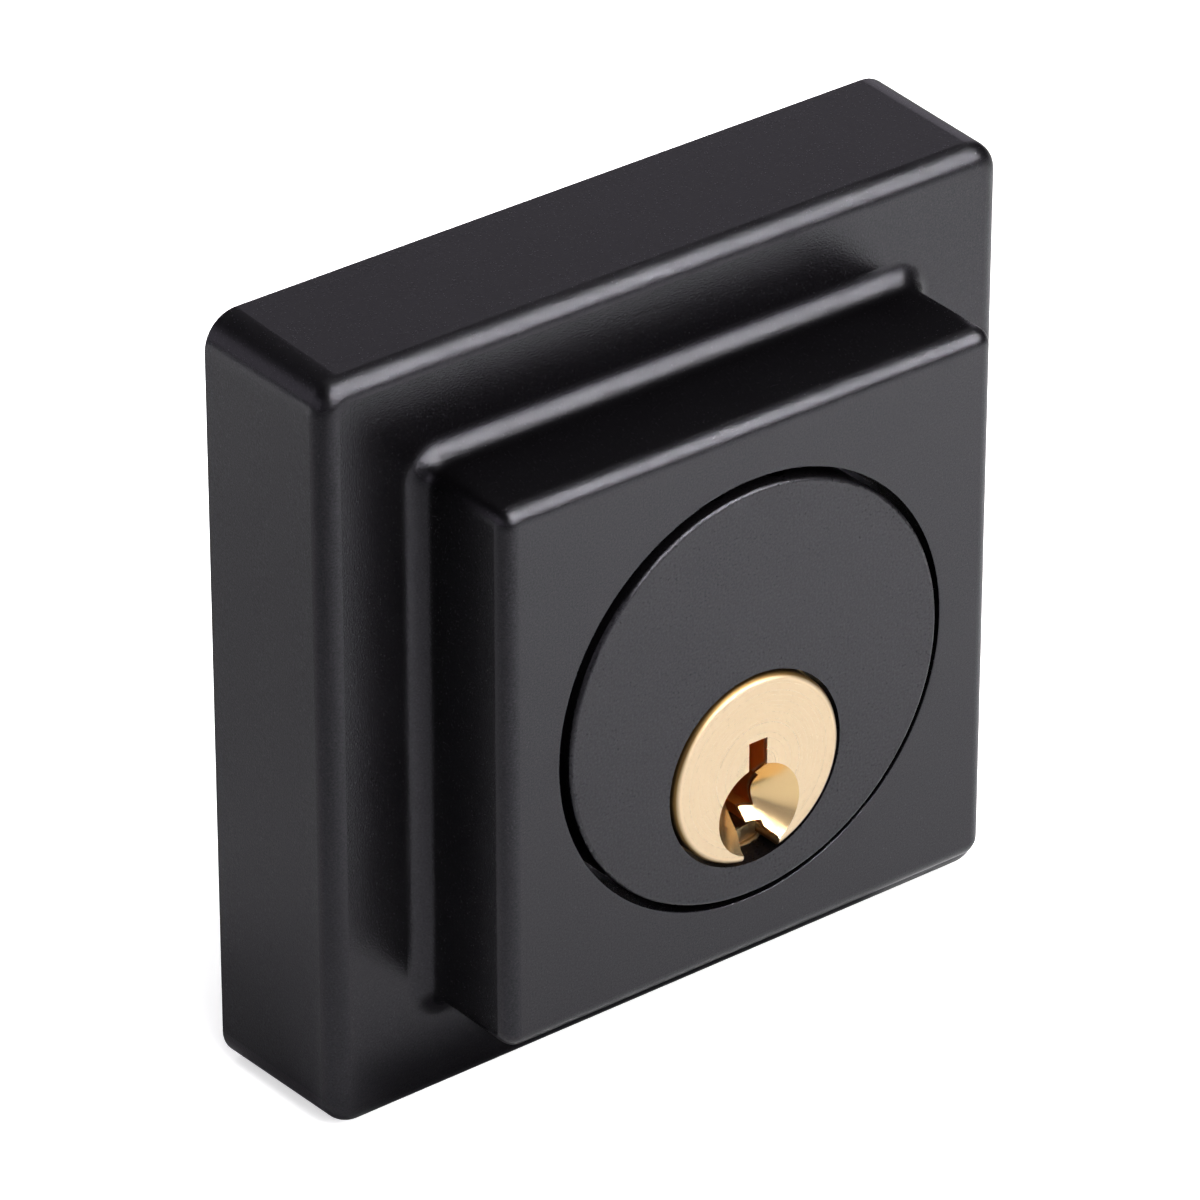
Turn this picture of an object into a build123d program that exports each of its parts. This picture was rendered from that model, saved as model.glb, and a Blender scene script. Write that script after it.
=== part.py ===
from build123d import *
import math
import os

# Outside half of a single-cylinder deadbolt lock.
# Millimetres, +X to the right as seen from outside, +Y into the door, +Z up.
# The origin is the middle of the housing's rear rim, which lies on the door's face.

# Housing, a stepped square casting
BASE_SIDE = 60.0
BASE_DEPTH = 12.85
BASE_CORNER_R = 2.65
BASE_EDGE_R = 1.5
BASE_DRAFT_DEG = 1.65
STAGE_SIDE = 43.1
STAGE_HEIGHT = 9.25
STAGE_CORNER_R = 1.5
STAGE_EDGE_R = 1.2
STAGE_ROOT_R = 1.65
STAGE_DRAFT_DEG = 0.5
WALL = 3.0
CAVITY_CORNER_R = 1.5
HUB_WALL = 3.85
RIB_T = 2.5
RIB_SETBACK = 2.0
BORE_LIP_R = 0.1

# Lock cylinder: a round body with a wider head that sits in the housing's counterbore
BODY_R = 14.6
HEAD_STEP = 1.65
HEAD_T = 4.8
HEAD_EDGE_R = 0.3
HEAD_GAP = 0.62
HEAD_PROUD = 0.4
BODY_CLEARANCE = 0.25
REAR_WALL = 1.25
CLAMP_GAP = 0.4

# Plug, the part that the key turns
PLUG_DROP = 6.05
PLUG_R = 6.35
PLUG_CLEARANCE = 0.05
FLANGE_STEP = 0.98
FLANGE_T = 2.7
FLANGE_GAP = 0.28
FLANGE_EDGE_R = 0.5
PLUG_PROUD = 0.3
END_PLAY = 0.05
STUD_WALL = 0.85
STUD_LENGTH = 3.5

# Keyway, measured from the plug's axis
KEYWAY_TOP = 2.4
KEYWAY_WIDTH = 1.62
GROOVE_TOP = -1.15
GROOVE_DEPTH = 0.5
WARD_TOP = -4.35
WARD_HEIGHT = 0.85
WARD_REACH = 1.0
THROAT_STEP = 0.1
THROAT_BOTTOM = -5.6
FLARE_TOP = -5.45
MOUTH_TOP = -6.25
MOUTH_LEFT = -1.2
MOUTH_RIGHT = 2.0
KEYWAY_END_WALL = 1.2
COUNTERSINK_R = 3.6
COUNTERSINK_ANGLE_DEG = 90.0
COUNTERSINK_X = 0.15
COUNTERSINK_DROP = 3.3

# Pin stacks
PIN_R = 1.46
PIN_CLEARANCE = 0.05
PIN_PITCH = 3.81
FIRST_PIN_WALL = 0.1
KEY_PIN_LENGTHS = (5.6, 4.7, 6.4, 5.2, 6.0)
KEY_PIN_TIP_R = 0.5
PIN_CHAMFER = 0.3
CHAMBER_FLOOR = -1.1
SEAT_GAP = 0.05
SHEAR_GAP = 0.05
DRIVER_LENGTH = 5.0
SPRING_HEIGHT = 6.1
SPRING_MEAN_R = 1.1
SPRING_WIRE_R = 0.16
SPRING_TURNS = 7.5
CHAMBER_PLUG_CLEARANCE = 0.01
CHAMBER_PLUG_SINK = 0.05

# Hardened pins ahead of the pin stacks
GUARD_R = 1.0
GUARD_CLEARANCE = 0.02
GUARD_X = 2.6
GUARD_SETBACK = 1.9
GUARD_LENGTH = 10.0
GUARD_WALL = 1.5

# Cap on the plug's rear stud, with its sprung locking pin
CAP_STEP = 1.85
CAP_EDGE = 0.3
CAP_THREAD_CLEARANCE = 0.05
CAP_END_T = 1.5
CAP_HOLE_R = 3.0
CAP_GRIPS = 6
CAP_GRIP_R = 0.9
CAP_NOTCHES = 8
CAP_NOTCH_DEPTH = 1.0
CAP_NOTCH_GAP = 0.1
CAP_PIN_R = 0.65
CAP_PIN_CLEARANCE = 0.05
CAP_PIN_LENGTH = 3.6
CAP_PIN_PROUD = 0.8
CAP_PIN_WALL = 0.1
CAP_PIN_ANGLE_DEG = 180.0
CAP_SPRING_HEIGHT = 3.2
CAP_SPRING_MEAN_R = 0.45
CAP_SPRING_WIRE_R = 0.1
CAP_SPRING_TURNS = 4.5

# Tailpiece, the flat bar that turns the bolt
TAIL_T = 2.0
TAIL_HEAD_W = 6.8
TAIL_WIDTH = 5.2
TAIL_REACH = 36.0
TAIL_CHAMFER = 0.6
TAIL_PLAY = 0.05
TAIL_TIP_PLAY = 0.11
TAIL_HEAD_DEPTH = 2.45
TAIL_SCORES = 3
TAIL_SCORE_PITCH = 6.0
TAIL_SCORE_DEPTH = 0.4

# Clamp plate behind the door's face, with its screws and posts
DOOR_BORE_R = 27.0
PLATE_BORE_GAP = 0.6
PLATE_T = 1.8
PLATE_EDGE = 0.3
CAP_ROOM = 0.8
SCREW_R = 1.95
SCREW_CLEARANCE = 0.05
SCREW_PLATE_GAP = 0.25
SCREW_X = 9.0
SCREW_Z = 4.4
SCREW_LENGTH = 12.0
SCREW_END_ROOM = 1.0
SCREW_HEAD_R = 3.5
SCREW_HEAD_T = 2.4
SCREW_HEAD_EDGE_R = 0.9
RECESS_LENGTH = 4.2
RECESS_WIDTH = 0.9
RECESS_DEPTH = 1.3
POST_R = 3.0
POST_INNER_WALL = 1.15
POST_CLEARANCE = 0.05
POST_PLATE_GAP = 0.1
POST_DEPTH = 8.5
POST_END_ROOM = 0.5
POST_FLATS = 8.0
POST_HEX_T = 4.5
POST_HEX_CHAMFER = 0.4
POST_THREAD_R = 1.75
POST_THREAD_DEPTH = 13.0
BOSS_WALL = 2.15

# Places and sizes that follow from those
FRONT = -(BASE_DEPTH + STAGE_HEIGHT)
BASE_FLOOR = -(BASE_DEPTH - WALL)
STAGE_FLOOR = FRONT + WALL
HEAD_R = BODY_R + HEAD_STEP
COUNTERBORE_R = HEAD_R + HEAD_GAP
HUB_BORE_R = BODY_R + BODY_CLEARANCE
HUB_R = HUB_BORE_R + HUB_WALL
HEAD_FACE = FRONT - HEAD_PROUD
HEAD_SEAT = HEAD_FACE + HEAD_T
CHAMBER_R = PIN_R + PIN_CLEARANCE
FIRST_PIN = HEAD_SEAT + FIRST_PIN_WALL + CHAMBER_R
PIN_PLACES = [FIRST_PIN + PIN_PITCH * i for i in range(len(KEY_PIN_LENGTHS))]
CYLINDER_REAR = PIN_PLACES[-1] + CHAMBER_R + REAR_WALL
HUB_REAR = CYLINDER_REAR + CLAMP_GAP
PLUG_Z = -PLUG_DROP
PLUG_FACE = HEAD_FACE - PLUG_PROUD
PLUG_BORE_R = PLUG_R + PLUG_CLEARANCE
FLANGE_R = PLUG_R + FLANGE_STEP
FLANGE_RECESS_R = FLANGE_R + FLANGE_GAP
FLANGE_REAR = PLUG_FACE + FLANGE_T
PLUG_SHOULDER = CYLINDER_REAR + END_PLAY
STUD_END = PLUG_SHOULDER + STUD_LENGTH
TAIL_SWEEP_R = math.hypot(TAIL_HEAD_W / 2, TAIL_T / 2) + TAIL_TIP_PLAY
STUD_R = TAIL_SWEEP_R + STUD_WALL
KEY_PIN_REST = PLUG_Z + CHAMBER_FLOOR + SEAT_GAP
DRIVER_FOOT = PLUG_Z + PLUG_BORE_R + SHEAR_GAP
SPRING_FOOT = DRIVER_FOOT + DRIVER_LENGTH + SEAT_GAP
CHAMBER_PLUG_FOOT = SPRING_FOOT + SPRING_HEIGHT + SEAT_GAP
GUARD_Y = HEAD_FACE + GUARD_SETBACK
GUARD_FOOT = PLUG_Z + FLANGE_RECESS_R + GUARD_WALL
CAP_R = PLUG_R + CAP_STEP
CAP_SEAT = STUD_END + SEAT_GAP
CAP_REAR = CAP_SEAT + CAP_END_T
CAP_PIN_HOLE_R = CAP_PIN_R + CAP_PIN_CLEARANCE
CAP_PIN_ORBIT = STUD_R + CAP_PIN_WALL + CAP_PIN_HOLE_R
CAP_PIN_X = CAP_PIN_ORBIT * math.cos(math.radians(CAP_PIN_ANGLE_DEG))
CAP_PIN_Z = PLUG_Z + CAP_PIN_ORBIT * math.sin(math.radians(CAP_PIN_ANGLE_DEG))
CAP_PIN_END = PLUG_SHOULDER + CAP_PIN_PROUD
CAP_PIN_FOOT = CAP_PIN_END - CAP_PIN_LENGTH
CAP_SPRING_FOOT = CAP_PIN_FOOT - SEAT_GAP - CAP_SPRING_HEIGHT
TAIL_HEAD_FRONT = STUD_END - TAIL_HEAD_DEPTH
PLATE_R = DOOR_BORE_R - PLATE_BORE_GAP
PLATE_REAR = HUB_REAR + PLATE_T
SCREW_TIP = PLATE_REAR - SCREW_LENGTH
POST_HOLE_R = POST_R + POST_CLEARANCE
POST_X = HUB_BORE_R + POST_INNER_WALL + POST_HOLE_R
POST_TIP = HUB_REAR - POST_DEPTH
POST_END = PLATE_REAR + POST_HEX_T
OVERCUT = 1.0
TOUCH = 0.01
POINTS_A_TURN = 24
LOW_END = (Align.CENTER, Align.CENTER, Align.MIN)


def along_y(radius, y_front, y_rear, x=0.0, z=0.0):
    """A round bar along Y between two depths."""
    return Pos(x, y_rear, z) * Rot(90, 0, 0) * Cylinder(radius, y_rear - y_front, align=LOW_END)


def upright(radius, z_low, z_high, x=0.0, y=0.0):
    """A round bar along Z between two heights."""
    return Pos(x, y, z_low) * Cylinder(radius, z_high - z_low, align=LOW_END)


def facing(y, x=0.0, z=0.0):
    """A drawing plane seen from the front: local X is +X, local Y is +Z and it faces -Y."""
    return Plane(origin=(x, y, z), x_dir=(1, 0, 0), z_dir=(0, -1, 0))


def prism(sketch, y_front, y_rear, x=0.0, z=0.0):
    """A sketch in X and Z, drawn out along Y between two depths."""
    return extrude(facing(y_rear, x, z) * sketch, amount=y_rear - y_front)


def front_edges(solid):
    """The edges round a solid's foremost face."""
    return solid.faces().sort_by(Axis.Y)[0].edges()


def rear_edges(solid):
    """The edges round a solid's rearmost face."""
    return solid.faces().sort_by(Axis.Y)[-1].edges()


def stepped_block():
    """The casting's outside: a drafted square base with a smaller drafted square on it."""
    base = extrude(
        facing(0) * RectangleRounded(BASE_SIDE, BASE_SIDE, BASE_CORNER_R),
        amount=BASE_DEPTH,
        taper=BASE_DRAFT_DEG,
    )
    base = fillet(front_edges(base), BASE_EDGE_R)
    stage = extrude(
        facing(-BASE_DEPTH) * RectangleRounded(STAGE_SIDE, STAGE_SIDE, STAGE_CORNER_R),
        amount=STAGE_HEIGHT,
        taper=STAGE_DRAFT_DEG,
    )
    stage = fillet(front_edges(stage), STAGE_EDGE_R)
    block = base + stage
    reach = STAGE_SIDE / 2 + TOUCH
    root = [
        edge
        for edge in block.edges().filter_by_position(Axis.Y, -BASE_DEPTH - TOUCH, -BASE_DEPTH + TOUCH)
        if edge.bounding_box().max.X < reach and edge.bounding_box().min.X > -reach
    ]
    return fillet(root, STAGE_ROOT_R)


def housing():
    """The square casting with its hub, post bosses, ribs and bores."""
    inner_base = BASE_SIDE - 2 * WALL
    inner_stage = STAGE_SIDE - 2 * WALL
    shell = stepped_block()
    shell -= prism(RectangleRounded(inner_base, inner_base, CAVITY_CORNER_R), BASE_FLOOR, OVERCUT)
    shell -= prism(RectangleRounded(inner_stage, inner_stage, CAVITY_CORNER_R), STAGE_FLOOR, 0)
    shell += along_y(HUB_R, STAGE_FLOOR, HUB_REAR)
    rib_low = HUB_R - HUB_WALL / 2
    rib_high = inner_base / 2 + WALL / 2
    for side in (-1, 1):
        shell += along_y(POST_HOLE_R + BOSS_WALL, BASE_FLOOR, HUB_REAR, x=side * POST_X)
        rib = Pos(0, side * (rib_low + rib_high) / 2) * Rectangle(RIB_T, rib_high - rib_low)
        shell += prism(rib, BASE_FLOOR, -RIB_SETBACK)
    shell -= along_y(HUB_BORE_R, FRONT - OVERCUT, HUB_REAR + OVERCUT)
    shell -= along_y(COUNTERBORE_R, FRONT - OVERCUT, HEAD_SEAT)
    for side in (-1, 1):
        shell -= along_y(POST_HOLE_R, POST_TIP - POST_END_ROOM, HUB_REAR + OVERCUT, x=side * POST_X)
    rings = shell.edges().filter_by(GeomType.CIRCLE)
    lip = [
        edge
        for edge in rings.filter_by_position(Axis.Y, FRONT - TOUCH, FRONT + TOUCH)
        if abs(edge.radius - COUNTERBORE_R) < TOUCH
    ]
    return fillet(lip, BORE_LIP_R)


def cylinder_body():
    """The fixed round body: head, plug bore, pin chambers, guard pin holes and screw holes."""
    head = along_y(HEAD_R, HEAD_FACE, HEAD_SEAT)
    head = fillet(front_edges(head), HEAD_EDGE_R)
    body = head + along_y(BODY_R, HEAD_SEAT, CYLINDER_REAR)
    body -= along_y(PLUG_BORE_R, HEAD_FACE - OVERCUT, CYLINDER_REAR + OVERCUT, z=PLUG_Z)
    body -= along_y(FLANGE_RECESS_R, HEAD_FACE - OVERCUT, FLANGE_REAR + END_PLAY, z=PLUG_Z)
    for y in PIN_PLACES:
        body -= upright(CHAMBER_R, PLUG_Z, BODY_R + OVERCUT, y=y)
    for side in (-1, 1):
        guard_hole_r = GUARD_R + GUARD_CLEARANCE
        body -= upright(guard_hole_r, GUARD_FOOT, HEAD_R + OVERCUT, x=side * GUARD_X, y=GUARD_Y)
        screw_hole_end = SCREW_TIP - SCREW_END_ROOM
        screw_hole_r = SCREW_R + SCREW_CLEARANCE
        body -= along_y(
            screw_hole_r, screw_hole_end, CYLINDER_REAR + OVERCUT, x=side * SCREW_X, z=SCREW_Z
        )
    return body


def drill_guard_pins():
    """Two hardened pins pressed into the head."""
    pins = Part()
    for side in (-1, 1):
        pins += upright(GUARD_R, GUARD_FOOT, GUARD_FOOT + GUARD_LENGTH, x=side * GUARD_X, y=GUARD_Y)
    return pins


def keyway_profile():
    """The keyway's section, drawn about the plug's axis and open below."""
    right = KEYWAY_WIDTH / 2
    left = -right
    below = -(FLANGE_R + OVERCUT)
    groove = right + GROOVE_DEPTH
    ward_foot = WARD_TOP - WARD_HEIGHT
    points = [
        (left, KEYWAY_TOP),
        (right, KEYWAY_TOP),
        (right, GROOVE_TOP),
        (groove, GROOVE_TOP - GROOVE_DEPTH),
        (groove, WARD_TOP),
        (groove - WARD_REACH, WARD_TOP),
        (groove - WARD_REACH, ward_foot),
        (groove + THROAT_STEP, ward_foot),
        (groove + THROAT_STEP, THROAT_BOTTOM),
        (MOUTH_RIGHT, MOUTH_TOP),
        (MOUTH_RIGHT, below),
        (MOUTH_LEFT, below),
        (MOUTH_LEFT, MOUTH_TOP),
        (left, FLARE_TOP),
    ]
    return make_face(Polyline(*points, close=True))


def tail_sweep():
    """The space that the tailpiece's head turns in: upright at one end, level at the other."""
    half = TAIL_T / 2 + TAIL_PLAY
    lug = Rectangle(TAIL_SWEEP_R, TAIL_SWEEP_R)
    offset = half + TAIL_SWEEP_R / 2
    return Circle(TAIL_SWEEP_R) - Pos(-offset, offset) * lug - Pos(offset, -offset) * lug


def plug():
    """The turning plug: flange, barrel and stud, with keyway, pin chambers and tail recess."""
    flange = along_y(FLANGE_R, PLUG_FACE, FLANGE_REAR, z=PLUG_Z)
    flange = fillet(front_edges(flange), FLANGE_EDGE_R)
    body = flange + along_y(PLUG_R, FLANGE_REAR, PLUG_SHOULDER, z=PLUG_Z)
    body += along_y(STUD_R, PLUG_SHOULDER, STUD_END, z=PLUG_Z)
    body -= prism(keyway_profile(), PLUG_FACE - OVERCUT, PLUG_SHOULDER - KEYWAY_END_WALL, z=PLUG_Z)
    sink_depth = COUNTERSINK_R / math.tan(math.radians(COUNTERSINK_ANGLE_DEG / 2))
    sink = Rot(90, 0, 0) * Cone(0, COUNTERSINK_R, sink_depth, align=LOW_END)
    body -= Pos(COUNTERSINK_X, PLUG_FACE + sink_depth, PLUG_Z - COUNTERSINK_DROP) * sink
    seat_height = PIN_R - KEY_PIN_TIP_R
    seat = Cone(KEY_PIN_TIP_R + PIN_CLEARANCE, CHAMBER_R, seat_height, align=LOW_END)
    chamber_floor = PLUG_Z + CHAMBER_FLOOR
    for y in PIN_PLACES:
        body -= Pos(0, y, chamber_floor) * seat
        body -= upright(CHAMBER_R, chamber_floor + seat_height, PLUG_Z + PLUG_R + OVERCUT, y=y)
    body -= prism(tail_sweep(), TAIL_HEAD_FRONT - SEAT_GAP, STUD_END + OVERCUT, z=PLUG_Z)
    cap_hole_end = CAP_SPRING_FOOT - SEAT_GAP
    body -= along_y(CAP_PIN_HOLE_R, cap_hole_end, PLUG_SHOULDER + OVERCUT, x=CAP_PIN_X, z=CAP_PIN_Z)
    return body


def key_pin(index):
    """A pointed pin that the key lifts, resting on its chamber's seat."""
    shoulder = KEY_PIN_LENGTHS[index] - PIN_CHAMFER
    point = PIN_R - KEY_PIN_TIP_R
    pin = Cone(KEY_PIN_TIP_R, PIN_R, point, align=LOW_END)
    pin += upright(PIN_R, point, shoulder)
    pin += Pos(0, 0, shoulder) * Cone(PIN_R, PIN_R - PIN_CHAMFER, PIN_CHAMFER, align=LOW_END)
    return Pos(0, PIN_PLACES[index], KEY_PIN_REST) * pin


def driver_pin(index):
    """A plain pin above the shear line, pressed down by its spring."""
    pin = upright(PIN_R, DRIVER_FOOT, DRIVER_FOOT + DRIVER_LENGTH, y=PIN_PLACES[index])
    return chamfer(pin.edges().filter_by(GeomType.CIRCLE), PIN_CHAMFER)


def biarc(start, start_tangent, end, end_tangent):
    """Two arcs that join two points and run along the tangent at each."""
    chord = end - start
    square = 2 * (1 - start_tangent.dot(end_tangent))
    linear = 2 * chord.dot(start_tangent + end_tangent)
    reach = (-linear + math.sqrt(linear**2 + 4 * square * chord.dot(chord))) / (2 * square)
    middle = (start + start_tangent * reach + end - end_tangent * reach) * 0.5
    first = TangentArc(start, middle, tangent=start_tangent)
    second = TangentArc(middle, end, tangent=first % 1)
    return [first, second]


def least_gap(path, turns, wire_r):
    """The least gap between a coil's turns, from points along the wire's middle half a turn apart or more."""
    count = round(POINTS_A_TURN * turns)
    points = [path @ (i / count) for i in range(count + 1)]
    pairs = ((a, b) for i, a in enumerate(points) for b in points[i + POINTS_A_TURN // 2 :])
    return min((a - b).length for a, b in pairs) - 2 * wire_r


def coil(height, mean_r, wire_r, turns):
    """One round wire wound up along Z from height 0, as quarter turns."""
    rise = (height - 2 * wire_r) / turns

    def point(turn):
        angle = 2 * math.pi * turn
        return Vector(mean_r * math.cos(angle), mean_r * math.sin(angle), wire_r + rise * turn)

    def tangent(turn):
        angle = 2 * math.pi * turn
        along = 2 * math.pi * mean_r
        return Vector(-along * math.sin(angle), along * math.cos(angle), rise).normalized()

    steps = round(4 * turns)
    places = [turns * i / steps for i in range(steps + 1)]
    edges = []
    for a, b in zip(places, places[1:]):
        edges += biarc(point(a), tangent(a), point(b), tangent(b))
    path = Wire(edges)
    print(f"coil of {turns} turns, least gap to itself {least_gap(path, turns, wire_r):.3f} mm")
    section = Plane(origin=point(0), z_dir=tangent(0)) * Circle(wire_r)
    return sweep(section, path=path)


def pin_spring(index):
    """The spring between a driver pin and its chamber's plug."""
    spring = coil(SPRING_HEIGHT, SPRING_MEAN_R, SPRING_WIRE_R, SPRING_TURNS)
    return Pos(0, PIN_PLACES[index], SPRING_FOOT) * spring


def chamber_plugs():
    """The short plugs that close the pin chambers, flush with the body's round top."""
    skin = along_y(BODY_R - CHAMBER_PLUG_SINK, HEAD_SEAT, CYLINDER_REAR)
    plugs = Part()
    for y in PIN_PLACES:
        bar = upright(CHAMBER_R - CHAMBER_PLUG_CLEARANCE, CHAMBER_PLUG_FOOT, BODY_R + OVERCUT, y=y)
        plugs += bar & skin
    return plugs


def plug_cap():
    """The threaded cap that keeps the plug in the body and the tailpiece on the plug."""
    before = PLUG_SHOULDER - OVERCUT
    behind = CAP_REAR + OVERCUT
    cap = along_y(CAP_R, PLUG_SHOULDER, CAP_REAR, z=PLUG_Z)
    cap = chamfer(rear_edges(cap), CAP_EDGE)
    cap -= along_y(STUD_R + CAP_THREAD_CLEARANCE, before, CAP_SEAT, z=PLUG_Z)
    cap -= along_y(CAP_HOLE_R, before, behind, z=PLUG_Z)
    for i in range(CAP_GRIPS):
        angle = 2 * math.pi * i / CAP_GRIPS
        grip_x = CAP_R * math.cos(angle)
        grip_z = PLUG_Z + CAP_R * math.sin(angle)
        cap -= along_y(CAP_GRIP_R, before, behind, x=grip_x, z=grip_z)
    half_notch = CAP_PIN_R + CAP_NOTCH_GAP
    notch_length = CAP_PIN_ORBIT + half_notch
    notch = Pos(notch_length / 2, 0) * Rectangle(notch_length, 2 * half_notch)
    for i in range(CAP_NOTCHES):
        turned = Rot(0, 0, CAP_PIN_ANGLE_DEG + 360 * i / CAP_NOTCHES) * notch
        cap -= prism(turned, before, PLUG_SHOULDER + CAP_NOTCH_DEPTH, z=PLUG_Z)
    return cap


def cap_pin():
    """The small pin that keeps the cap from unscrewing."""
    return along_y(CAP_PIN_R, CAP_PIN_FOOT, CAP_PIN_END, x=CAP_PIN_X, z=CAP_PIN_Z)


def cap_spring():
    """The spring that presses the cap's pin out of the plug."""
    spring = coil(CAP_SPRING_HEIGHT, CAP_SPRING_MEAN_R, CAP_SPRING_WIRE_R, CAP_SPRING_TURNS)
    return Pos(CAP_PIN_X, CAP_PIN_FOOT - SEAT_GAP, CAP_PIN_Z) * Rot(90, 0, 0) * spring


def tailpiece():
    """The flat bar: a wide head in the plug's recess and a scored blade towards the bolt."""
    head = prism(Rectangle(TAIL_T, TAIL_HEAD_W), TAIL_HEAD_FRONT, STUD_END, z=PLUG_Z)
    blade = prism(Rectangle(TAIL_T, TAIL_WIDTH), TAIL_HEAD_FRONT, TAIL_REACH, z=PLUG_Z)
    blade = chamfer(rear_edges(blade).filter_by(Axis.X), TAIL_CHAMFER)
    bar = head + blade
    score_side = TAIL_SCORE_DEPTH * math.sqrt(2)
    score = Rot(0, 0, 45) * Box(score_side, score_side, TAIL_WIDTH + OVERCUT)
    for i in range(1, TAIL_SCORES + 1):
        for side in (-1, 1):
            bar -= Pos(side * TAIL_T / 2, TAIL_REACH - TAIL_SCORE_PITCH * i, PLUG_Z) * score
    return bar


def clamp_plate():
    """The round steel plate that ties the cylinder and posts to the housing."""
    before = HUB_REAR - OVERCUT
    behind = PLATE_REAR + OVERCUT
    plate = along_y(PLATE_R, HUB_REAR, PLATE_REAR)
    plate = chamfer(rear_edges(plate), PLATE_EDGE)
    plate -= along_y(CAP_R + CAP_ROOM, before, behind, z=PLUG_Z)
    for side in (-1, 1):
        plate -= along_y(POST_R + POST_PLATE_GAP, before, behind, x=side * POST_X)
        plate -= along_y(SCREW_R + SCREW_PLATE_GAP, before, behind, x=side * SCREW_X, z=SCREW_Z)
    return plate


def cylinder_screw(side):
    """A pan-head screw through the plate into the cylinder's rear."""
    top = PLATE_REAR + SCREW_HEAD_T
    head = along_y(SCREW_HEAD_R, PLATE_REAR, top)
    head = fillet(rear_edges(head), SCREW_HEAD_EDGE_R)
    cross = Rectangle(RECESS_LENGTH, RECESS_WIDTH) + Rectangle(RECESS_WIDTH, RECESS_LENGTH)
    head -= prism(cross, top - RECESS_DEPTH, top + OVERCUT)
    return Pos(side * SCREW_X, 0, SCREW_Z) * (head + along_y(SCREW_R, SCREW_TIP, PLATE_REAR))


def cylinder_screws():
    """The two screws that draw the cylinder's head onto its seat."""
    return cylinder_screw(-1) + cylinder_screw(1)


def mounting_post(side):
    """A threaded sleeve with a hex collar, which takes a through bolt from indoors."""
    corner_r = POST_FLATS / 2 / math.cos(math.pi / 6)
    collar = prism(Rot(0, 0, 30) * RegularPolygon(corner_r, 6), PLATE_REAR, POST_END)
    collar &= chamfer(rear_edges(along_y(corner_r, PLATE_REAR, POST_END)), POST_HEX_CHAMFER)
    post = collar + along_y(POST_R, POST_TIP, PLATE_REAR)
    post -= along_y(POST_THREAD_R, POST_END - POST_THREAD_DEPTH, POST_END + OVERCUT)
    return Pos(side * POST_X, 0, 0) * post


def all_parts():
    """Every node by name."""
    parts = {
        "housing": housing(),
        "cylinder_body": cylinder_body(),
        "drill_guard_pins": drill_guard_pins(),
        "chamber_plugs": chamber_plugs(),
        "plug": plug(),
        "plug_cap": plug_cap(),
        "cap_pin": cap_pin(),
        "cap_spring": cap_spring(),
        "tailpiece": tailpiece(),
        "clamp_plate": clamp_plate(),
        "cylinder_screws": cylinder_screws(),
        "mounting_post_left": mounting_post(-1),
        "mounting_post_right": mounting_post(1),
    }
    for index in range(len(KEY_PIN_LENGTHS)):
        parts[f"key_pin_{index + 1}"] = key_pin(index)
        parts[f"driver_pin_{index + 1}"] = driver_pin(index)
        parts[f"pin_spring_{index + 1}"] = pin_spring(index)
    return parts


os.makedirs("parts", exist_ok=True)
for node, shape in all_parts().items():
    export_step(shape, f"parts/{node}.step")
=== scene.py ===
import logging
from dataclasses import dataclass
from enum import Enum
from typing import Any, Optional, Sequence, Union

import bpy
import numpy as np
from mathutils import Matrix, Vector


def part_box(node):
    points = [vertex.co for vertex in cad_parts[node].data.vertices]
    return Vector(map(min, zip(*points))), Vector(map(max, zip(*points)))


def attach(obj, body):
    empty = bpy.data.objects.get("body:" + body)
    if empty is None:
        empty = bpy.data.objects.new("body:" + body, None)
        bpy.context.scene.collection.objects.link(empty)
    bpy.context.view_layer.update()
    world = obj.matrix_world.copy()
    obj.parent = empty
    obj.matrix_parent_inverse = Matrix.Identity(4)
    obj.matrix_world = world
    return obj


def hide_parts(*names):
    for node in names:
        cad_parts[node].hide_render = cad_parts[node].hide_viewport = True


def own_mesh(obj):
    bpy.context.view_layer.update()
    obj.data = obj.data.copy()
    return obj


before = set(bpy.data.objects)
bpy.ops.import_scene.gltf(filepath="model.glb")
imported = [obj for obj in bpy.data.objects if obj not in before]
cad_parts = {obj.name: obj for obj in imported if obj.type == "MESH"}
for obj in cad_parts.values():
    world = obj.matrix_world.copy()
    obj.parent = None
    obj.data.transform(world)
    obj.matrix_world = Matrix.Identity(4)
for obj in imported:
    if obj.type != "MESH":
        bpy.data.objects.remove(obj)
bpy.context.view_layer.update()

MM = 0.001
PIN_COUNT = 5
PLUG_FACE_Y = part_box("plug")[0].y
PLUG_AXIS_Z = -6.05 * MM
SINK_X = 0.15 * MM
SINK_DROP = 3.3 * MM
NEAR_VERTICAL = 0.99
LOG = logging.getLogger("deadbolt")

Colour = tuple[float, float, float]
Point = tuple[float, float, float]
Span = tuple[float, float]
Faces = list[list[int]]
Socket = bpy.types.NodeSocket
Value = Union[Socket, float, tuple]

ORIGIN: Point = (0.0, 0.0, 0.0)
UNSTRETCHED: Point = (1.0, 1.0, 1.0)
WHOLE: Span = (0.0, 1.0)
NOISE_MIDDLE: Span = (0.25, 0.75)


class Across(Enum):
    """The two coordinates that lie across an axis."""

    Y = ("X", "Z")
    Z = ("X", "Y")


class Busy(Enum):
    """How broken up a noise is: its layers of detail, and how strong the finer layers are."""

    PLAIN = (2.0, 0.5)
    CLOUDED = (3.0, 0.5)
    MARKED = (4.0, 0.6)


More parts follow.
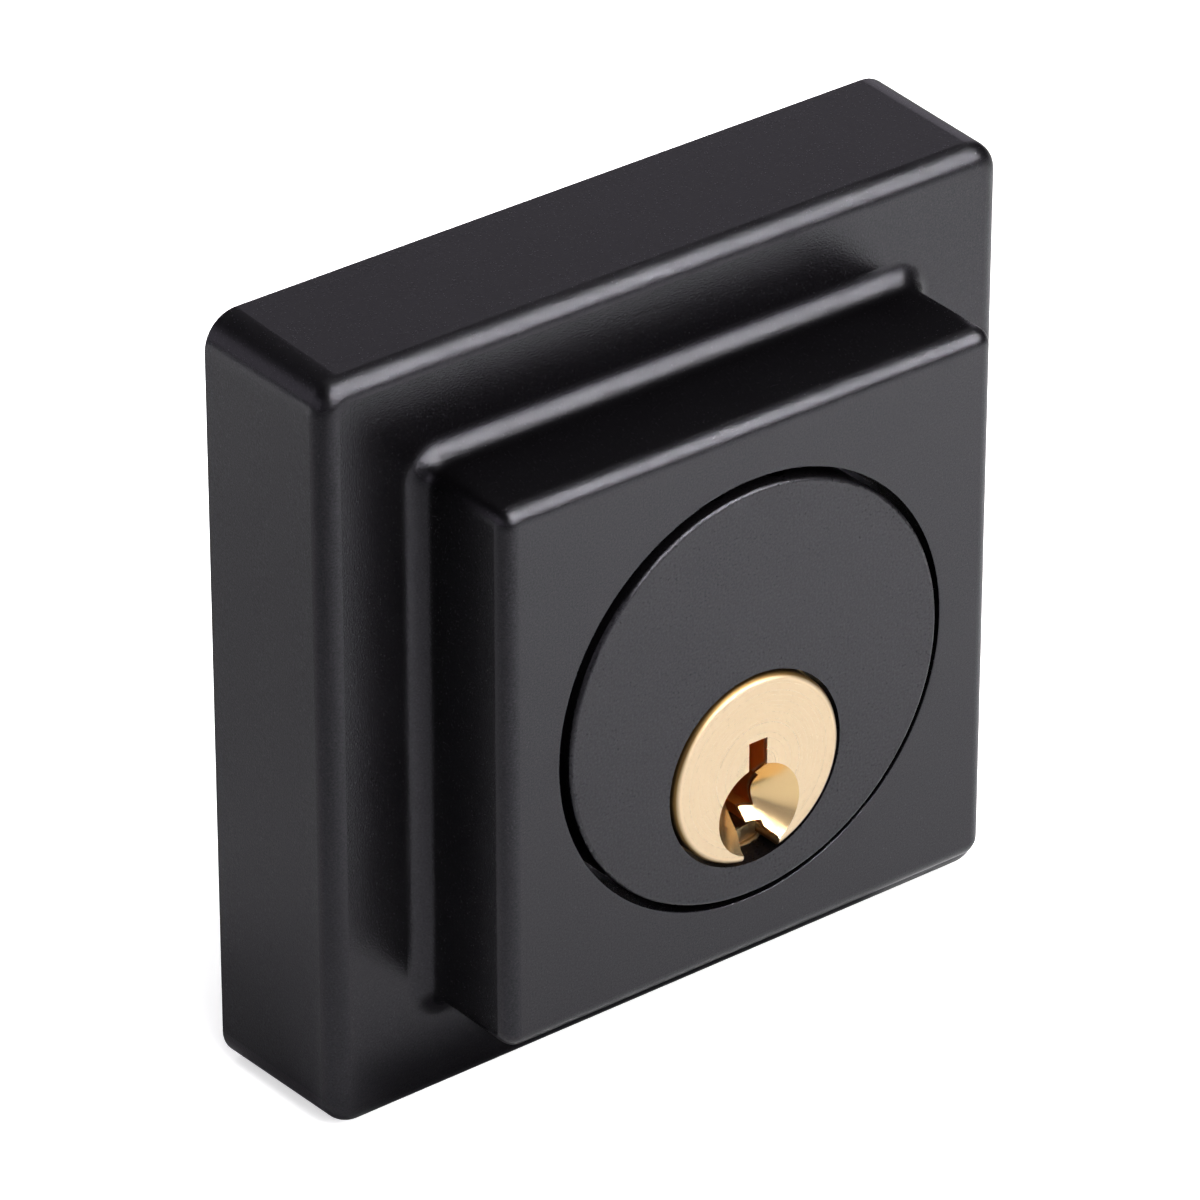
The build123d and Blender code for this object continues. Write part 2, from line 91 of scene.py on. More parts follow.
class Nodes:
    """A node tree that is wired call by call."""

    def __init__(self, tree: bpy.types.NodeTree) -> None:
        """Takes over a tree and empties it."""
        self.tree = tree
        self.tree.nodes.clear()

    def node(self, kind: str, values: dict[Union[str, int], Value], **settings: Any) -> bpy.types.Node:
        """Adds a node.

        Args:
            kind: Blender's name for the node.
            values: what goes into each input, a number or another node's output.
            settings: the node's own properties.

        Returns:
            The new node.
        """
        made = self.tree.nodes.new(kind)
        for setting, value in settings.items():
            setattr(made, setting, value)
        for key, value in values.items():
            if isinstance(value, bpy.types.NodeSocket):
                self.tree.links.new(value, made.inputs[key])
            else:
                made.inputs[key].default_value = value
        return made

    def math(self, operation: str, *values: Value) -> Socket:
        """One arithmetic step on up to three values."""
        return self.node("ShaderNodeMath", dict(enumerate(values)), operation=operation).outputs[0]

    def part(self, vector: Socket, name: str) -> Socket:
        """One coordinate of a vector, X, Y or Z."""
        return self.node("ShaderNodeSeparateXYZ", {"Vector": vector}).outputs[name]

    def span(self, value: Socket, to: Span, start: Span = NOISE_MIDDLE, **settings: Any) -> Socket:
        """Carries a value from the range start to another, held at its ends."""
        ends = dict(zip(("From Min", "From Max", "To Min", "To Max"), (*start, *to)))
        return self.node("ShaderNodeMapRange", {"Value": value, **ends}, **settings).outputs["Result"]


class Shader(Nodes):
    """A material's node tree round one Principled shader."""

    def __init__(self, name: str, **fixed: Any) -> None:
        """Starts a material.

        Args:
            name: the material's name.
            fixed: values that are the same all over, by socket name with _ for a space.
        """
        self.material = bpy.data.materials.new(name)
        self.material.use_nodes = True
        super().__init__(self.material.node_tree)
        self.skin = self.node("ShaderNodeBsdfPrincipled", {})
        self.node("ShaderNodeOutputMaterial", {"Surface": self.skin.outputs["BSDF"]})
        for socket, value in fixed.items():
            self.skin.inputs[socket.replace("_", " ")].default_value = value

    def place(self, centre: Point = ORIGIN, stretch: Point = UNSTRETCHED) -> Socket:
        """Object coordinates about a centre.

        Args:
            centre: the point that becomes zero, in metres.
            stretch: how far a pattern is drawn out along each axis.

        Returns:
            A vector socket: (position - centre) / stretch.
        """
        scale = tuple(1.0 / s for s in stretch)
        shift = tuple(-c * k for c, k in zip(centre, scale))
        coordinates = self.node("ShaderNodeTexCoord", {})
        values = {"Vector": coordinates.outputs["Object"], "Location": shift, "Scale": scale}
        return self.node("ShaderNodeMapping", values).outputs["Vector"]

    def noise(self, vector: Socket, grain: float, busy: Busy = Busy.PLAIN) -> Socket:
        """Cloudy noise whose patches are about one grain across, in metres.

        Args:
            vector: the coordinates that it is read at.
            grain: the size of a patch.
            busy: how broken up it is.

        Returns:
            A value from 0 to 1, mostly in its middle half.
        """
        detail, rough = busy.value
        values = {"Vector": vector, "Scale": 1.0 / grain, "Detail": detail, "Roughness": rough}
        return self.node("ShaderNodeTexNoise", values).outputs["Fac"]

    def radius(self, vector: Socket, across: Across) -> Socket:
        """Distance from an axis: the root of the summed squares of the two coordinates across it."""
        first, second = (self.math("POWER", self.part(vector, name), 2.0) for name in across.value)
        return self.math("SQRT", self.math("ADD", first, second))

    def rings(self, vector: Socket, across: Across, pitch: float) -> Socket:
        """Uneven rings round an axis: one-dimensional noise of the distance from it.

        Args:
            vector: the coordinates, with the axis through zero.
            across: the two coordinates that lie across the axis.
            pitch: how far apart the rings are, in metres.

        Returns:
            A value from 0 to 1, mostly in its middle half.
        """
        detail, rough = Busy.CLOUDED.value
        distance = self.radius(vector, across)
        values = {"W": distance, "Scale": 1.0 / pitch, "Detail": detail, "Roughness": rough}
        return self.node("ShaderNodeTexNoise", values, noise_dimensions="1D").outputs["Fac"]

    def blend(self, share: Socket, first: Value, second: Value) -> Socket:
        """A number between two others, by share."""
        values = {"Factor": share, "A": first, "B": second}
        return self.node("ShaderNodeMix", values, data_type="FLOAT").outputs["Result"]

    def mix(self, share: Socket, first: Value, second: Value) -> Socket:
        """A colour between two others.

        Args:
            share: how much of the second, from 0 to 1.
            first: a tone or another node's output.
            second: the same.

        Returns:
            The mixed colour.
        """
        mixer = self.node("ShaderNodeMix", {"Factor": share}, data_type="RGBA")
        tones = [socket for socket in mixer.inputs if socket.type == "RGBA"]
        for socket, tone in zip(tones, (first, second)):
            if isinstance(tone, bpy.types.NodeSocket):
                self.tree.links.new(tone, socket)
            else:
                socket.default_value = (*tone, 1.0)
        return [socket for socket in mixer.outputs if socket.type == "RGBA"][0]

    def wire(self, name: str, value: Socket) -> None:
        """Leads a node's output to one of the shader's own sockets."""
        self.tree.links.new(value, self.skin.inputs[name])

    def bump(self, height: Socket, depth: float, under: Optional[Socket] = None) -> Socket:
        """Raises the surface by height times depth.

        Args:
            height: from 0 to 1.
            depth: how far 1 stands out, in metres.
            under: another bump that this one lies on.

        Returns:
            The new normal.
        """
        values = {"Height": height, "Distance": depth, "Strength": 1.0}
        if under is not None:
            values["Normal"] = under
        return self.node("ShaderNodeBump", values).outputs["Normal"]

    def finish(self, skin: Socket, roughness: Socket, normal: Socket) -> bpy.types.Material:
        """Wires the shader's main sockets.

        Args:
            skin: the base colour.
            roughness: from 0 to 1.
            normal: the bumped normal.

        Returns:
            The finished material.
        """
        self.wire("Base Color", skin)
        self.wire("Roughness", roughness)
        self.wire("Normal", normal)
        return self.material


@dataclass(frozen=True)
class SprayedMetal:
    """Sprayed satin coat, with fine grain on a faint orange peel, that ends where the spray didn't reach."""

    name: str
    roughness: Span
    bare_deep: Colour
    bare_pale: Colour
    bare_roughness: Span
    grain: float
    grain_depth: float
    peel: float
    peel_depth: float
    deep: Colour = (0.0005, 0.0004, 0.0005)
    pale: Colour = (0.0011, 0.0010, 0.0012)
    cloud: float = 6.0 * MM
    fleck_gloss: Span = (0.36, 0.64)
    fray: Span = (-0.35 * MM, 0.35 * MM)
    ior: float = 1.47
    gloss_tint: Colour = (0.92, 0.90, 1.0)

    def bare(self, shader: Shader, place: Socket, ragged: Socket) -> Socket:
        """How bare the metal is, from 0 to 1.

        Args:
            shader: the node tree to add to.
            place: Object coordinates.
            ragged: noise about 0 that frays the coat's edge, in metres.

        Returns:
            The share of bare metal.
        """
        raise NotImplementedError

    def material(self) -> bpy.types.Material:
        """The coat as nodes over the bare metal.

        Returns:
            A material: tone from clouds, flecks of gloss from the grain, bump from grain and peel.
        """
        shader = Shader(self.name, IOR=self.ior, Specular_Tint=(*self.gloss_tint, 1.0))
        place = shader.place()
        grain = shader.noise(place, self.grain)
        peel = shader.noise(place, self.peel)
        cloud = shader.noise(place, self.cloud, Busy.CLOUDED)
        bare = self.bare(shader, place, shader.span(peel, self.fray))
        coat = shader.mix(cloud, self.deep, self.pale)
        skin = shader.mix(bare, coat, shader.mix(peel, self.bare_deep, self.bare_pale))
        shader.wire("Metallic", bare)
        shader.wire("Specular IOR Level", shader.span(grain, self.fleck_gloss))
        gloss = shader.blend(bare, shader.span(grain, self.roughness), shader.span(peel, self.bare_roughness))
        normal = shader.bump(peel, self.peel_depth)
        return shader.finish(skin, gloss, shader.bump(grain, self.grain_depth, normal))


@dataclass(frozen=True)
class CastingCoat(SprayedMetal):
    """The casting's coat, which thins to bare zinc in the rear cavity."""

    wall_middle: float = 28.3 * MM
    coat_end: float = -11.3 * MM
    coat_fade: float = 0.8 * MM

    def bare(self, shader: Shader, place: Socket, ragged: Socket) -> Socket:
        """Bare within the walls, behind the depth where the spray ends.

        Args:
            shader: the node tree to add to.
            place: Object coordinates.
            ragged: noise about 0 that frays the coat's edge, in metres.

        Returns:
            The share of bare metal.
        """
        wide = (shader.math("ABSOLUTE", shader.part(place, name)) for name in Across.Y.value)
        inside = shader.math("LESS_THAN", shader.math("MAXIMUM", *wide), self.wall_middle)
        depth = shader.math("ADD", shader.part(place, "Y"), ragged)
        fade = (self.coat_end - self.coat_fade, self.coat_end + self.coat_fade)
        return shader.math("MULTIPLY", inside, shader.span(depth, WHOLE, fade))


@dataclass(frozen=True)
class CylinderCoat(SprayedMetal):
    """The lock cylinder's coat, on its head alone and a little way into the plug's bore."""

    plug_centre: Point = (0.0, 0.0, PLUG_AXIS_Z)
    bore_radius: float = 7.7 * MM
    head_end: float = -17.9 * MM
    bore_end: float = -20.3 * MM
    coat_fade: Span = (-0.2 * MM, 0.2 * MM)

    def bare(self, shader: Shader, place: Socket, ragged: Socket) -> Socket:
        """Bare behind the head, and behind the mouth of the bore inside it.

        Args:
            shader: the node tree to add to.
            place: Object coordinates.
            ragged: noise about 0 that frays the coat's edge, in metres.

        Returns:
            The share of bare metal.
        """
        about_plug = shader.place(self.plug_centre)
        in_bore = shader.math("LESS_THAN", shader.radius(about_plug, Across.Y), self.bore_radius)
        end = shader.blend(in_bore, self.head_end, self.bore_end)
        past = shader.math("SUBTRACT", shader.math("ADD", shader.part(place, "Y"), ragged), end)
        return shader.span(past, WHOLE, self.coat_fade)


@dataclass(frozen=True)
class TurnedMetal:
    """Bare metal off a lathe: fine uneven rings round an axis and a few stray marks."""

    name: str
    deep: Colour
    pale: Colour
    roughness: Span
    across: Across
    centre: Point = ORIGIN
    pitch: float = 0.12 * MM
    ring_depth: float = 0.0006 * MM
    mark: float = 0.5 * MM
    mark_share: Span = (0.2, 0.8)

    def material(self) -> bpy.types.Material:
        """The metal as nodes.

        Returns:
            A material: bump from the rings, tone from cloudy marks, gloss from both.
        """
        shader = Shader(self.name, Metallic=1.0)
        place = shader.place(self.centre)
        rings = shader.rings(place, self.across, self.pitch)
        marks = shader.noise(place, self.mark, Busy.MARKED)
        skin = shader.mix(marks, self.deep, self.pale)
        gloss = shader.blend(shader.span(marks, self.mark_share), rings, marks)
        return shader.finish(skin, shader.span(gloss, self.roughness), shader.bump(rings, self.ring_depth))


@dataclass(frozen=True)
class PlugBrass:
    """Faced brass: rings round the plug's axis, and round the countersink's axis inside it."""

    name: str
    deep: Colour
    pale: Colour
    roughness: Span
    # painted shade: a near-black tone on the flange's rounded edge, standing in for the shade in the gap
    # round the plug
    rim_painted_shade: Colour
    cone_tone: Colour
    # painted shade: a darker orange-brown that stands in for the shade deep in the key slot
    slot_painted_shade: Colour
    plug_centre: Point = (0.0, PLUG_FACE_Y, PLUG_AXIS_Z)
    sink_centre: Point = (SINK_X, PLUG_FACE_Y, PLUG_AXIS_Z - SINK_DROP)
    sink_radius: float = 3.62 * MM
    face_skin: float = 0.01 * MM
    rim_start: Span = (6.9 * MM, 7.2 * MM)
    rim_roughness: float = 0.45
    cone_marks: Span = (0.35, 0.65)
    cone_roughness: float = 0.25
    slot_reach: float = 6.0 * MM
    slot_fade: Span = (0.1 * MM, 0.5 * MM)
    slot_roughness: float = 0.43
    pitch: float = 0.11 * MM
    ring_depth: float = 0.0008 * MM
    mark: float = 0.4 * MM
    mark_share: Span = (0.1, 0.5)

    def material(self) -> bpy.types.Material:
        """The brass as nodes, with painted shade on a dull rim, a golden cone and painted shade in the key
        slot.

        How deep a place in the slot lies is its depth below the face less the countersink's own depth
        there, which is the sink's radius less the distance from its axis.

        Returns:
            A material with two sets of rings, parted by depth and distance.
        """
        shader = Shader(self.name, Metallic=1.0)
        about_plug = shader.place(self.plug_centre)
        about_sink = shader.place(self.sink_centre)
        off_plug = shader.radius(about_plug, Across.Y)
        off_sink = shader.radius(about_sink, Across.Y)
        depth = shader.part(about_sink, "Y")
        below = shader.math("GREATER_THAN", depth, self.face_skin)
        within = shader.math("LESS_THAN", off_sink, self.sink_radius)
        conical = shader.math("MULTIPLY", below, within)
        cone = shader.math("MAXIMUM", shader.math("SUBTRACT", self.sink_radius, off_sink), 0.0)
        sunk = shader.span(shader.math("SUBTRACT", depth, cone), WHOLE, self.slot_fade)
        # the mask of the key slot's painted shade, fading in with depth below the countersink
        slot = shader.math("MULTIPLY", sunk, shader.math("LESS_THAN", off_plug, self.slot_reach))
        # the mask of the rim's painted shade, a band from rim_start's inner to outer radius off the plug's
        # axis
        rim = shader.span(off_plug, WHOLE, self.rim_start)
        face_rings = shader.rings(about_plug, Across.Y, self.pitch)
        sink_rings = shader.span(shader.rings(about_sink, Across.Y, self.pitch), self.cone_marks, WHOLE)
        rings = shader.blend(conical, face_rings, sink_rings)
        marks = shader.noise(about_plug, self.mark, Busy.MARKED)
        skin = shader.mix(marks, self.deep, self.pale)
        gloss = shader.span(shader.blend(shader.span(marks, self.mark_share), rings, marks), self.roughness)
        # The rim and the key slot take dark tones that are painted shade, for the gap round the plug and the
        # inside of the slot; the cone takes its golden tone
        zones = (
            (rim, self.rim_painted_shade, self.rim_roughness),
            (conical, self.cone_tone, self.cone_roughness),
            (slot, self.slot_painted_shade, self.slot_roughness),
        )
        for share, tone, roughness in zones:
            skin = shader.mix(share, skin, tone)
            gloss = shader.blend(share, gloss, roughness)
        return shader.finish(skin, gloss, shader.bump(rings, self.ring_depth))


@dataclass(frozen=True)
class RolledSteel:
    """Plated or drawn steel: lines from rolling or drawing under a cloudy film."""

    name: str
    deep: Colour
    pale: Colour
    roughness: Span
    lines: Point
    line: float = 0.08 * MM
    line_depth: float = 0.0012 * MM
    cloud: float = 1.4 * MM
    cloud_share: Span = (0.3, 0.7)

    def material(self) -> bpy.types.Material:
        """The steel as nodes.

        Returns:
            A material: bump from the lines, which are stretched noise, tone from clouds, gloss from both.
        """
        shader = Shader(self.name, Metallic=1.0)
        lines = shader.noise(shader.place(stretch=self.lines), self.line, Busy.CLOUDED)
        cloud = shader.noise(shader.place(), self.cloud, Busy.MARKED)
        skin = shader.mix(cloud, self.deep, self.pale)
        gloss = shader.blend(shader.span(cloud, self.cloud_share), lines, cloud)
        return shader.finish(skin, shader.span(gloss, self.roughness), shader.bump(lines, self.line_depth))


def spring_wire(name: str, lines: Point) -> RolledSteel:
    """Bright drawn wire, with its lines drawn out as the coil's turns lie."""
    tones = {"deep": (0.46, 0.46, 0.48), "pale": (0.64, 0.64, 0.66)}
    return RolledSteel(name, roughness=(0.20, 0.38), lines=lines, **tones)


def tube_faces(rows: int, columns: int) -> Faces:
    """Faces of a closed tube whose sections are rows of points.

    Args:
        rows: how many sections the tube has.
        columns: how many points each section has.

    Returns:
        Corner numbers by face: each point, the same point a section on, and the pair beside them
        round the section, then the two ends. The faces point outwards where the points go round
        their section clockwise, as seen along the path.
    """
    row, column = np.meshgrid(np.arange(rows - 1), np.arange(columns), indexing="ij")
    beside = (column + 1) % columns
    edge = (row * columns + column, (row + 1) * columns + column)
    next_edge = ((row + 1) * columns + beside, row * columns + beside)
    around = np.stack([*edge, *next_edge], axis=-1).reshape(-1, 4).tolist()
    first = list(range(columns))
    last = list(range((rows - 1) * columns, rows * columns))[::-1]
    return around + [first, last]


def piece(name: str, points: np.ndarray, faces: Faces, material: bpy.types.Material) -> bpy.types.Object:
    """Puts a worked-out surface into the scene as a smooth mesh at the origin.

    Args:
        name: the piece's name.
        points: one row of three coordinates a point, in metres.
        faces: each face's corner numbers.
        material: its finish.

    Returns:
        The new object.
    """
    mesh = bpy.data.meshes.new(name)
    mesh.from_pydata(points.tolist(), [], faces)
    mesh.materials.append(material)
    mesh.shade_smooth()
    mesh.update()
    made = bpy.data.objects.new(name, mesh)
    bpy.context.scene.collection.objects.link(made)
    return made


def dress(material: bpy.types.Material, *names: str) -> None:
    """Gives carried-over nodes a finish in their own material slots.

    Args:
        material: the finish.
        names: the nodes.
    """
    for name in names:
        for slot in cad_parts[name].material_slots:
            slot.material = material
        LOG.info("%s dressed in %s", name, material.name)


def stance(right: Sequence, up: Sequence, back: Sequence, place: Sequence) -> Matrix:
    """How a thing is turned and where it stands.

    Args:
        right: its own X axis.
        up: its own Y axis.
        back: its own Z axis.
        place: its origin, in metres.

    Returns:
        The matrix with these four as its columns.
    """
    columns = np.eye(4)
    columns[:3] = np.stack([right, up, back, place], axis=1)
    return Matrix(columns.tolist())


@dataclass(frozen=True)
class Coil:
    """A compression spring of round wire with closer-wound ends, wound about +Z from height 0."""

    height: float
    mean_radius: float
    wire_radius: float
    turns: float
    end_share: float = 0.16
    end_pitch: float = 0.42
    tip_share: float = 0.02
    steps_a_turn: int = 40
    sides: int = 12

    def rise(self, along: np.ndarray) -> np.ndarray:
        """Height of the wire's centre.

        Args:
            along: shares of the wire's length, from 0 to 1.

        Returns:
            The running sum of a pitch that eases from end_pitch at each end to 1 between them,
            carried to the room between the two end turns' centres.
        """
        ease = np.clip(np.minimum(along, 1.0 - along) / self.end_share, 0.0, 1.0)
        pitch = self.end_pitch + (1.0 - self.end_pitch) * ease * ease * (3.0 - 2.0 * ease)
        climbed = np.concatenate([[0.0], np.cumsum((pitch[1:] + pitch[:-1]) / 2.0)])
        return self.wire_radius + (self.height - 2.0 * self.wire_radius) * climbed / climbed[-1]

    def surface(self) -> tuple[np.ndarray, Faces]:
        """The wire's skin.

        Returns:
            Points and faces of a circle carried along the helix. A point is the wire's centre plus
            the outward direction times the cosine, and the upward direction across the wire times
            the sine, of the angle round the wire. One more section at each end shrinks to tip_share.
        """
        count = int(self.turns * self.steps_a_turn) + 1
        along = np.linspace(0.0, 1.0, count)
        angle = 2.0 * np.pi * self.turns * along
        zero = np.zeros_like(angle)
        outward = np.stack([np.cos(angle), np.sin(angle), zero], axis=1)
        centre = self.mean_radius * outward + np.stack([zero, zero, self.rise(along)], axis=1)
        ahead = np.gradient(centre, axis=0)
        ahead /= np.linalg.norm(ahead, axis=1, keepdims=True)
        upward = np.cross(outward, ahead)
        closed = np.concatenate([[0], np.arange(count), [count - 1]])
        girth = np.full(count + 2, self.wire_radius)
        girth[[0, -1]] *= self.tip_share
        around = np.linspace(0.0, 2.0 * np.pi, self.sides, endpoint=False)
        ring = (
            np.cos(around)[None, :, None] * outward[closed][:, None, :]
            + np.sin(around)[None, :, None] * upward[closed][:, None, :]
        )
        points = centre[closed][:, None, :] + girth[:, None, None] * ring
        return points.reshape(-1, 3), tube_faces(count + 2, self.sides)


@dataclass(frozen=True)
class InnerThread:
    """A thread inside a bore: one ridge wound along +Y on its wall, which runs out at both ends."""

    bore: float
    crest: float
    pitch: float
    length: float
    root_share: float = 0.42
    crest_share: float = 0.07
    sunk: float = 0.04 * MM
    run_out: float = 0.6
    tip_share: float = 0.02
    steps_a_turn: int = 36

    def surface(self) -> tuple[np.ndarray, Faces]:
        """The ridge's skin.

        Returns:
            Points and faces of a section of four points, two just within the wall and two at the
            crest, carried along the helix. Its height and width grow from tip_share to 1 of their
            size over the run-out at each end.
        """
        turns = self.length / self.pitch
        count = int(turns * self.steps_a_turn) + 1
        along = np.linspace(0.0, 1.0, count)
        angle = 2.0 * np.pi * turns * along
        size = np.clip(np.minimum(along, 1.0 - along) * turns / self.run_out, self.tip_share, 1.0)[:, None]
        root = self.bore + self.sunk
        height = np.array([0.0, 1.0, 1.0, 0.0])[None, :] * size
        across = np.array([-self.root_share, -self.crest_share, self.crest_share, self.root_share])
        radius = root + (self.crest - root) * height
        y = self.length * along[:, None] + self.pitch * across[None, :] * size
        points = np.stack([radius * np.cos(angle)[:, None], y, radius * np.sin(angle)[:, None]], axis=-1)
        return points.reshape(-1, 3), tube_faces(count, across.size)


@dataclass
class Casing:
    """The stepped square casting."""

    coat: CastingCoat = CastingCoat(
        name="satin_black_coat",
        roughness=(0.22, 0.28),
        bare_deep=(0.36, 0.37, 0.39),
        bare_pale=(0.48, 0.49, 0.51),
        bare_roughness=(0.40, 0.56),
        grain=0.13 * MM,
        grain_depth=0.013 * MM,
        peel=0.7 * MM,
        peel_depth=0.001 * MM,
    )

    def build(self) -> None:
        """Dresses the casting in its coat."""
        dress(self.coat.material(), "housing")


@dataclass
class LockCylinder:
    """The round body with its pin stacks and guard pins."""

    coat: CylinderCoat = CylinderCoat(
        name="smooth_black_coat",
        roughness=(0.26, 0.32),
        bare_deep=(0.58, 0.42, 0.22),
        bare_pale=(0.70, 0.53, 0.30),
        bare_roughness=(0.26, 0.40),
        grain=0.18 * MM,
        grain_depth=0.009 * MM,
        peel=1.2 * MM,
        peel_depth=0.002 * MM,
    )
    key_pin: TurnedMetal = TurnedMetal(
        name="key_pin_turned_brass",
        deep=(0.62, 0.43, 0.19),
        pale=(0.80, 0.60, 0.31),
        roughness=(0.18, 0.34),
        across=Across.Z,
    )
    driver: TurnedMetal = TurnedMetal(
        name="driver_turned_steel",
        deep=(0.50, 0.50, 0.52),
        pale=(0.66, 0.66, 0.68),
        roughness=(0.16, 0.32),
        across=Across.Z,
    )
    guard: TurnedMetal = TurnedMetal(
        name="hardened_ground_steel",
        deep=(0.20, 0.20, 0.22),
        pale=(0.34, 0.33, 0.34),
        roughness=(0.28, 0.46),
        across=Across.Z,
    )
    wire: RolledSteel = spring_wire("drawn_spring_wire", (6.0, 6.0, 1.0))
    spring: Coil = Coil(height=6.1 * MM, mean_radius=1.1 * MM, wire_radius=0.16 * MM, turns=7.5)
    lift: float = 3.0 * MM

    def build(self) -> None:
        """Dresses the body, all its pins and the cap's pin, and winds the five pin springs."""
        numbers = range(1, PIN_COUNT + 1)
        dress(self.coat.material(), "cylinder_body")
        dress(self.key_pin.material(), *(f"key_pin_{i}" for i in numbers))
        dress(self.driver.material(), *(f"driver_pin_{i}" for i in numbers))
        dress(self.guard.material(), "drill_guard_pins", "cap_pin")
        wire = self.wire.material()
        points, faces = self.spring.surface()
        for i in numbers:
            low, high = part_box(f"pin_spring_{i}")
            axis = np.array([(low.x + high.x) / 2.0, (low.y + high.y) / 2.0, low.z])
            coil = piece(f"pin_spring_coil_{i}", points + axis, faces, wire)
            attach(coil, "lock_case")
            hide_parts(f"pin_spring_{i}")
            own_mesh(coil)
            LOG.info("%s wound", coil.name)


@dataclass
class PlugAssembly:
    """The turning plug with its cap, the cap's pin spring and the tailpiece."""

    brass: PlugBrass = PlugBrass(
        name="faced_plug_brass",
        deep=(0.95, 0.72, 0.45),
        pale=(1.00, 0.81, 0.55),
        roughness=(0.24, 0.36),
        # painted shade on the plug's rim
        rim_painted_shade=(0.17, 0.10, 0.035),
        cone_tone=(1.00, 0.72, 0.36),
        # painted shade in the key slot
        slot_painted_shade=(0.92, 0.32, 0.05),
    )
    cap: TurnedMetal = TurnedMetal(
        name="turned_cap_brass",
        deep=(0.66, 0.46, 0.21),
        pale=(0.82, 0.62, 0.33),
        roughness=(0.22, 0.38),
        across=Across.Y,
        centre=(0.0, 0.0, PLUG_AXIS_Z),
    )
    tail: RolledSteel = RolledSteel(
        name="plated_tail_steel",
        deep=(0.50, 0.49, 0.46),
        pale=(0.66, 0.66, 0.64),
        roughness=(0.24, 0.42),
        lines=(1.0, 40.0, 1.0),
    )
    wire: RolledSteel = spring_wire("drawn_cap_spring_wire", (6.0, 1.0, 6.0))
    spring: Coil = Coil(height=3.2 * MM, mean_radius=0.45 * MM, wire_radius=0.1 * MM, turns=4.5)
    press: float = 0.85 * MM

    def build(self) -> None:
        """Dresses plug, tailpiece, and cap with the chamber plugs, and winds the cap's spring along -Y."""
        dress(self.brass.material(), "plug")
        dress(self.cap.material(), "plug_cap", "chamber_plugs")
        dress(self.tail.material(), "tailpiece")
        points, faces = self.spring.surface()
        low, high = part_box("cap_spring")
        rear = np.array([(low.x + high.x) / 2.0, high.y, (low.z + high.z) / 2.0])
        turned = np.stack([points[:, 0], -points[:, 2], points[:, 1]], axis=1)
        coil = piece("cap_spring_coil", turned + rear, faces, self.wire.material())
        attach(coil, "plug_assembly")
        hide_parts("cap_spring")
        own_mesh(coil)
        LOG.info("%s wound", coil.name)


@dataclass
class RearFixings:
    """The clamp plate behind the door's face, with its screws and threaded posts."""

    plate: RolledSteel = RolledSteel(
        name="plated_clamp_steel",
        deep=(0.52, 0.51, 0.47),
        pale=(0.68, 0.68, 0.66),
        roughness=(0.26, 0.44),
        lines=(40.0, 1.0, 1.0),
    )
    screw: TurnedMetal = TurnedMetal(
        name="plated_screw_steel",
        deep=(0.50, 0.49, 0.46),
        pale=(0.66, 0.65, 0.62),
        roughness=(0.22, 0.40),
        across=Across.Y,
    )
    post: RolledSteel = RolledSteel(
        name="plated_post_steel",
        deep=(0.50, 0.50, 0.49),
        pale=(0.66, 0.66, 0.66),
        roughness=(0.22, 0.40),
        lines=(1.0, 30.0, 1.0),
    )
    thread: InnerThread = InnerThread(bore=1.75 * MM, crest=1.5 * MM, pitch=0.7 * MM, length=11.9 * MM)
    thread_setback: float = 0.45 * MM

    def build(self) -> None:
        """Dresses plate, screws and posts, and cuts the threads inside the posts."""
        dress(self.plate.material(), "clamp_plate")
        dress(self.screw.material(), "cylinder_screws")
        post = self.post.material()
        points, faces = self.thread.surface()
        for side in ("left", "right"):
            dress(post, f"mounting_post_{side}")
            low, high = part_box(f"mounting_post_{side}")
            foot_y = high.y - self.thread_setback - self.thread.length
            foot = np.array([(low.x + high.x) / 2.0, foot_y, (low.z + high.z) / 2.0])
            ridge = piece(f"post_thread_{side}", points + foot, faces, post)
            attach(ridge, "lock_case")
            LOG.info("%s cut", ridge.name)


@dataclass(frozen=True)
class Softbox:
    """A soft light with straight sides that faces a point."""

    name: str
    place: Point
    aim: Point
    size: Span
    radiance: float
    spread: float = np.pi
    shows_in_gloss: bool = True
    first_hand: bool = False

    def build(self) -> None:
        """Hangs the light. Its power is pi times its area times its radiance.

        A first-hand light reaches what the camera sees, but isn't seen again in its mirror images.
        """
        light = bpy.data.lights.new(self.name, "AREA")
        light.shape = "RECTANGLE"
        light.size, light.size_y = self.size
        light.energy = np.pi * np.prod(self.size) * self.radiance
        light.spread = self.spread
        if self.first_hand:
            light.cycles.max_bounces = 0
            light.cycles.use_multiple_importance_sampling = False
        back = np.array(self.place) - np.array(self.aim)
        back /= np.linalg.norm(back)
        upright = (0.0, 0.0, 1.0) if abs(back[2]) < NEAR_VERTICAL else (0.0, 1.0, 0.0)
        side = np.cross(upright, back)
        side /= np.linalg.norm(side)
        lamp = bpy.data.objects.new(self.name, light)
        lamp.matrix_world = stance(side, np.cross(back, side), back, self.place)
        lamp.visible_camera = False
        lamp.visible_glossy = self.shows_in_gloss
        bpy.context.scene.collection.objects.link(lamp)


def floor_pool(name: str, place: Point, aim: Point, radiance: float) -> Softbox:
    """A small lamp over a patch of the floor, which doesn't show in gloss."""
    size = (0.12, 0.12)
    return Softbox(name, place, aim, size, radiance, spread=0.96, shows_in_gloss=False)


